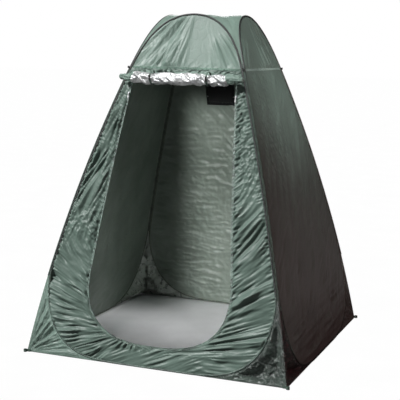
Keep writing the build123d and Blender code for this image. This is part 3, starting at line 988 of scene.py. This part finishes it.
def cap_relief(x, z, edge):
    """An arch panel: folds that run up from the shoulder seam and meet near the top of the arch, deep on
    the left and few on the right, and small slanting puckers along the seam at its foot."""
    left = smooth((0.03 - x) / 0.12)
    height = left * spokes(x, z, ARCH_PULL, 2.6, length=0.5, height=0.015, seed=61, patchy=0.3)
    height += left * spokes(x, z, ARCH_PULL, 7, length=0.5, height=0.024, seed=62, patchy=0.2)
    low_right = smooth((x - 0.1) / 0.08) * (1 - smooth((z - SEAM - 0.12) / 0.1))
    height += low_right * spokes(x, z, ARCH_PULL_RIGHT, 3.4, length=0.4, height=0.017, seed=66, patchy=0.2)
    by_seam = np.exp(-(((z - SEAM) / 0.028) ** 2))
    pucker = by_seam * folds(x, z, 40, spacing=0.009, length=0.1, height=0.010, seed=64)
    return pinned(height, edge, 0.03) + pinned(pucker, edge, 0.007)


def make_walls():
    hoop = mirrored(hoop_side())
    lower = clipped(hoop, high=SEAM)
    cap = clipped(hoop, low=SEAM)
    door = mirrored(door_side(ZIP / 2))
    window = window_outline(-WINDOW_OVERLAP)
    faces = [shell, lining]
    walls = {
        "front": ([door], 0.0048, front_relief),
        "right": ([], 0.009, side_relief),
        "back": ([window], 0.0085, back_relief),
        "left": ([], 0.014, left_relief),
    }
    for wall, (holes, spacing, relief) in walls.items():
        wall_cloth(f"{wall}_wall_cloth", wall, lower, holes, spacing, relief, faces, f"{wall}_wall")
    for wall in walls:
        name, node = f"{wall}_cap_cloth", f"{wall}_cap_panel"
        wall_cloth(name, wall, cap, [], 0.0065, cap_relief, faces, node, flip=wall == "right")


make_walls()

# ---------------- gussets

CORNERS = {
    "front_right": ("front", "right"),
    "back_right": ("right", "back"),
    "back_left": ("back", "left"),
    "front_left": ("left", "front"),
}
CRUSHED_CORNERS = ("front_right", "back_left")
HEM = 0.001  # height of the gussets' lower edge


def gusset_outline():
    """The right-hand half of a corner: between the hoop, the corner line and the hem."""
    side = hoop_side()
    hoop = side[(side[:, 0] > FOOT_HALF + 0.03) & (side[:, 1] <= GUSSET_TOP + 0.06)]
    hoop = np.concatenate([[(FOOT_HALF, HEM)], hoop])
    rise = np.linspace(hoop[-1][1], HEM, 18)
    corner = np.stack([wall_half(rise) + 0.0004, rise], axis=1)
    return np.concatenate([hoop, corner])


def gusset_relief(crushed):
    """Folds that fan out from the tent's corner tip, pushed in and crumpled where the corner is crushed."""
    def relief(x, z, edge):
        height = fan(x, z, (BASE, 0.0), spread=8, reach=0.42, height=0.026, seed=71)
        height += crumple(x, z, size=0.06, height=0.008, seed=76)
        if crushed:
            height *= 0.5
            height += crumple(x, z, size=0.016, height=0.014, seed=74)
            height += crumple(x, z, size=0.08, height=0.034, seed=75)
            height -= 0.045 * smooth(edge / 0.06)
        return pinned(height - 0.004, edge, 0.022)
    return relief


def make_gussets():
    """Two half gussets at each corner: one on each of the walls that meet there."""
    outline = gusset_outline()
    mirror = outline[::-1] * (-1, 1)
    for corner, (first, second) in CORNERS.items():
        crushed = corner in CRUSHED_CORNERS
        relief = gusset_relief(crushed)
        # The crushed corners' outside is the darker copy of the shell: painted shade.
        faces = [shell_in_painted_shade if crushed else shell, gusset_lining]
        for half, wall, other, shape in (("a", first, second, outline), ("b", second, first, mirror)):
            name, node = f"{corner}_gusset_cloth_{half}", f"{wall}_gusset_{other}"
            wall_cloth(name, wall, shape, [], 0.0055, relief, faces, node, flip=half == "b")


make_gussets()

# ---------------- roof

ROOF_WELD = 0.0012  # points of the roof's parts that are closer than this are joined


def roof_point(s, t):
    """A point of the corner gore between the front and right arches. s runs up the arch from 0 to 1,
    and t across from the front arch to the right one."""
    arch = bezier(arch_points(), s)
    x, z = arch[..., 0], arch[..., 1]
    w = wall_half(z)
    front = np.stack([x, -w, z], axis=-1)
    right = np.stack([w, -x, z], axis=-1)
    return front + (right - front) * t[..., None]


def make_roof():
    """Four gores, each ruled from one arch to the next, and the flat diamond on top, as one sheet."""
    rows, columns, steps = 46, 30, 30
    s, t = np.meshgrid(np.linspace(0, 1, rows), np.linspace(0, 1, columns), indexing="ij")
    gore = roof_point(s, t).reshape(-1, 3)
    points, faces = [], []
    for wall in TURNS:
        faces += grid_faces(rows, columns, start=len(points) * len(gore))
        points.append(turned(gore, wall))
    faces += grid_faces(steps, steps, start=len(points) * len(gore))
    across = np.linspace(-1, 1, steps)
    a, b = np.meshgrid(across, across, indexing="ij")
    half = float(wall_half(HOOP_TOP)) / 2
    top = np.stack([(a + b) * half, (a - b) * half, np.full_like(a, HOOP_TOP)], axis=-1)
    points = np.concatenate([*points, top.reshape(-1, 3)])
    obj = make_object("roof_cloth", points, faces, [shell, lining])
    work = bmesh.new()
    work.from_mesh(obj.data)
    bmesh.ops.remove_doubles(work, verts=work.verts, dist=ROOF_WELD)
    bmesh.ops.recalc_face_normals(work, faces=work.faces)
    if sum(f.normal.z for f in work.faces) < 0:
        bmesh.ops.reverse_faces(work, faces=work.faces)
    work.normal_update()
    normals = np.array([v.normal for v in work.verts])
    x, y, z = np.array([v.co for v in work.verts]).T
    wall = wall_half(z)
    edge = np.minimum(np.abs(np.abs(x) - wall), np.abs(np.abs(y) - wall))
    folded = crumple(x + z, y - z, size=0.06, height=0.006, seed=81)
    direction = np.degrees(np.arctan2(y, x))
    folded += 0.007 * rounded(direction / 7, z / 0.2, 84) * smooth((1.84 - z) / 0.1)
    sag = -0.01 * smooth(edge / 0.12)
    move = pinned(folded + sag, edge, 0.04)
    for v, n, m in zip(work.verts, normals, move):
        v.co += Vector(n) * float(m)
    work.to_mesh(obj.data)
    work.free()
    thicken(obj)
    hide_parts("roof_canopy")
    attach(obj, "shelter")


make_roof()

# ---------------- floor

FLOOR_INSET, FLOOR_LIFT = 0.0015, 0.0012
FLOOR_CORNER = 0.012  # radius of the groundsheet's corners


def make_floor():
    """The groundsheet, a square with small round corners and low waves."""
    half = float(wall_half(0)) - FLOOR_INSET
    arc = np.linspace(0, pi / 2, 8)
    quarter = half - FLOOR_CORNER + FLOOR_CORNER * np.stack([np.cos(arc), np.sin(arc)], axis=1)
    outline = []
    for k in range(4):
        a = k * pi / 2
        outline.append(quarter @ np.array([[cos(a), sin(a)], [-sin(a), cos(a)]]))
    points, faces, loops = flat_mesh(np.concatenate(outline), [], 0.03)
    x, y = points[:, 0], points[:, 1]
    edge = edge_distance(points, loops)
    waves = (0.5 + rounded(x / 0.25, y / 0.6, 91)).clip(0, 1.5)
    z = FLOOR_LIFT + 0.003 * pinned(waves, edge, 0.1)
    obj = make_object("floor_cloth", np.stack([x, y, z], axis=1), faces, [floor_cloth, floor_cloth])
    for polygon in obj.data.polygons:
        if polygon.normal.z < 0:
            polygon.flip()
    thicken(obj, 0)
    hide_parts("groundsheet")
    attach(obj, "shelter")


make_floor()

# ---------------- door

SILVER_LEFT, SILVER_RIGHT = -0.285, 0.27
TIE_INSET = 0.005
DOOR_MARGIN, DOOR_WIDENING = 0.012, 0.046  # the door's half width beyond the opening's, and its growth


def span(node):
    """The low corner and the high corner of a CAD node's box."""
    return (np.array(corner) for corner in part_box(node))


def make_door_roll():
    """The rolled door: a crumpled silver middle between two twisted green ends, pinched at its ties."""
    low, high = span("door_roll")
    tie_low, tie_high = span("door_tie_straps")
    tie = (tie_high - tie_low)[0] / 2 - TIE_INSET
    centre, radius = (low + high) / 2, (high[2] - low[2]) / 2
    columns, around = 300, 80
    along = np.linspace(low[0], high[0], columns)
    angle = np.linspace(0, 2 * pi, around, endpoint=False)
    x, a = np.meshgrid(along, angle, indexing="ij")
    end = np.minimum(x - low[0], high[0] - x)
    inner = np.minimum(x - SILVER_LEFT, SILVER_RIGHT - x)
    body = radius * (0.42 + 0.27 * smooth((inner + 0.07) / 0.09)) * np.sqrt(np.clip(end / 0.010, 0.03, 1))
    pinch = sum(np.exp(-(((x - side * tie) / 0.02) ** 2)) for side in (-1, 1))
    middle = smooth((inner + 0.01) / 0.02)
    wrinkle = 0.016 * ridged(x / 0.06 + 0.5 * np.sin(a), np.cos(a) * 1.1 + x / 0.25, 101)
    wrinkle += 0.008 * noise(x / 0.035, np.sin(a) * 1.2 + 4, 104)
    twist = 0.005 * np.sin(a * 2.2 + x / 0.028)
    twist += 0.009 * ridged(x / 0.03, np.sin(a + x / 0.05) * 1.4, 107)
    folded = middle * wrinkle + (1 - middle) * twist
    lip = 0.007 * np.exp(-(((a - 4.5) / 0.25) ** 2)) * middle
    girth = body * (1 - 0.2 * pinch) + folded * smooth(end / 0.02)
    girth = np.minimum(girth + lip, radius + 0.002)
    droop = middle * (0.006 * noise(x / 0.09, 0.5, 111) - 0.003)
    points = np.stack([x, centre[1] - girth * np.cos(a), centre[2] + girth * np.sin(a) + droop], axis=-1)
    points = points.reshape(-1, 3)
    faces = grid_faces(columns, around, closed=True)
    faces += [range(around)[::-1], range(len(points) - around, len(points))]
    obj = make_object("door_roll_cloth", points, faces, [shell, silver])
    face_x, _, face_z = np.array([p.center for p in obj.data.polygons]).T
    slant = face_z - centre[2]
    is_silver = (face_x > SILVER_LEFT + 0.3 * slant) & (face_x < SILVER_RIGHT - 0.35 * slant)
    obj.data.polygons.foreach_set("material_index", is_silver.astype(int))
    work = bmesh.new()
    work.from_mesh(obj.data)
    bmesh.ops.recalc_face_normals(work, faces=work.faces)
    work.to_mesh(obj.data)
    work.free()
    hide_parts("door_roll")
    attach(obj, "door_roll")


def make_door_top():
    """The door's upper end, from the seam over the opening to the back of the roll. It is gathered
    behind the roll."""
    low, high = span("door_roll")
    seam = on_wall(0.0, SEAM - 0.012, 0.002).reshape(-1)
    back_y, back_z = high[1] + 0.004, (low[2] + high[2]) / 2
    rows, columns = 60, 80
    t, c = np.meshgrid(np.linspace(0, 1, rows), np.linspace(-1, 1, columns), indexing="ij")
    half = DOOR_HALF_TOP + DOOR_MARGIN + DOOR_WIDENING * t
    y = seam[1] + (back_y - seam[1]) * t
    z = seam[2] + (back_z - seam[2]) * t
    ripple = 0.009 * noise(c * 6 + 1.4 * t, t * 1.6, 121)
    ripple += 0.006 * noise(c * 13 + 2 * t, t * 2.5, 125)
    ripple += 0.004 * noise(c * 2 + t * 3, t * 9, 123)
    ripple *= smooth(t / 0.2) * smooth((1 - t) / 0.1)
    points = np.stack([c * half, y - ripple, z], axis=-1).reshape(-1, 3)
    faces = [(a, d, c, b) for a, b, c, d in grid_faces(rows, columns)]
    obj = make_object("door_top_cloth", points, faces, [shell, silver])
    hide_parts("door_sheet")
    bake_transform(obj)


make_door_roll()
make_door_top()

# ---------------- window cover

COVER_LIFT = 0.0036
COVER_HEM, COVER_HEM_WIDTH = 0.0006, 0.008


def make_window_cover():
    """The cover on the outside of the window, with a flat hem."""
    points, faces, loops = flat_mesh(window_outline(COVER_MARGIN), [], 0.005)
    x, z = points[:, 0], points[:, 1]
    edge = edge_distance(points, loops)
    hem = COVER_HEM * (1 - smooth((edge - COVER_HEM_WIDTH) / 0.002))
    waves = folds(x, z, 78, spacing=0.03, length=0.2, height=0.0015, seed=131)
    height = COVER_LIFT + hem + pinned(np.abs(waves), edge, 0.02)
    solid_points = turned(on_wall(x, z, height), "back")
    faces = outward(solid_points, faces, "back")
    obj = make_object("window_cover_cloth", solid_points, faces, [shell, lining])
    thicken(obj)
    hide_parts("window_flap")
    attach(obj, "window_flap")


make_window_cover()

# ---------------- which light reaches which cloth

cloth = bpy.data.objects
leave_out(side_fill, [studio_floor])
leave_out(doorway_light, [cloth["front_wall_cloth"], studio_floor])
leave_out(floor_light, [cloth["front_wall_cloth"], studio_floor])
leave_out(key_light, [cloth["floor_cloth"]])
leave_out(overhead_light, [cloth["front_cap_cloth"], cloth["front_wall_cloth"]])
